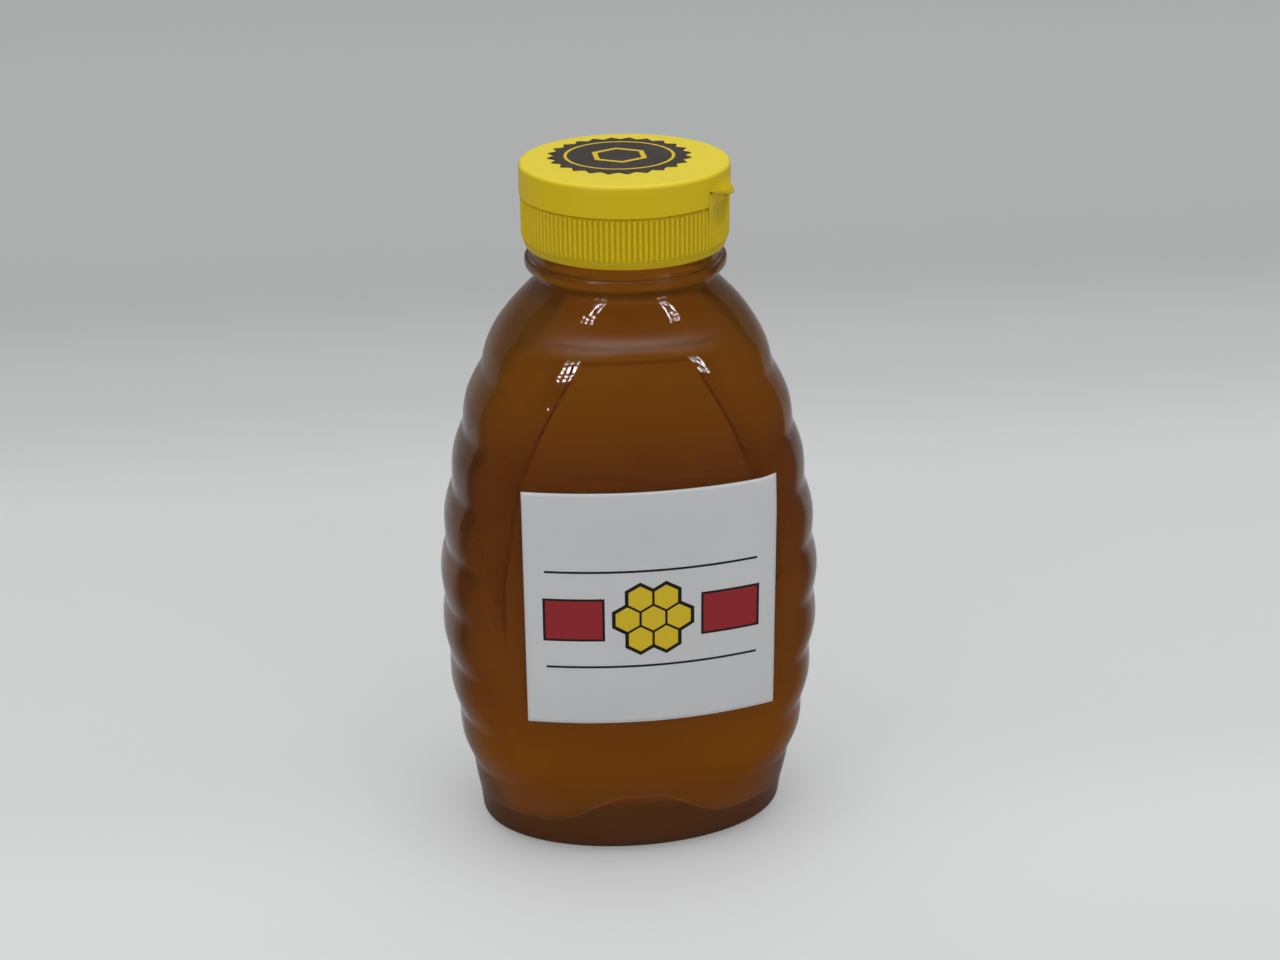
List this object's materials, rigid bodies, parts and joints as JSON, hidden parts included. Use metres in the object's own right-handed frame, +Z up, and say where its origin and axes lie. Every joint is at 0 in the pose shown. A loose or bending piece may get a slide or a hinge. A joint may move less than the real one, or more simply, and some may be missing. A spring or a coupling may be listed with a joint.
{
  "type": "honey squeeze bottle",
  "caption": "Clear oval squeeze bottle of honey with a grooved body, plain label panels, and a ribbed screw closure with a flip lid.",
  "frame": {"origin": "centre of the foot, on the surface that the bottle stands on", "axes": "+Z up along the neck's axis, -Y out of the front label, +X along the bottle's wide side"},
  "size_m": [0.0788, 0.0537, 0.1455],
  "materials": {
    "clear_plastic": "clear gloss blow-moulded PET",
    "honey": "clear dark amber liquid",
    "label_paper": "satin printed film",
    "liner_foam": "matte foam",
    "yellow_plastic": "satin moulded polypropylene",
    "sticker_film": "matte printed film"
  },
  "bodies": {
    "bottle": {"bottle": "clear_plastic", "honey": "honey", "front_label": "label_paper"},
    "closure_liner": {"seal_liner": "liner_foam"},
    "closure_base": {"closure_base": "yellow_plastic", "hinge_strap": "yellow_plastic"},
    "closure_lid": {"closure_lid": "yellow_plastic", "lid_sticker": "sticker_film"}
  },
  "joints": [
    {"name": "closure_lift", "type": "slide", "parent": "bottle", "child": "closure_liner", "axis": [0, 0, 1], "range_m": [0, 0.0085]},
    {"name": "closure_turn", "type": "hinge", "parent": "closure_liner", "child": "closure_base", "pos_m": [0, 0, 0.1286], "axis": [0, 0, 1], "range_deg": [0, 720]},
    {"name": "lid_hinge", "type": "hinge", "parent": "closure_base", "child": "closure_lid", "pos_m": [-0.01746, 0.01112, 0.13875], "axis": [-0.5373, -0.8434, 0], "range_deg": [0, 170], "deforming": ["hinge_strap"]}
  ],
  "couplings": [
    {"joint": "closure_lift", "follows": "closure_turn", "m_per_rad": 0.0006737}
  ]
}
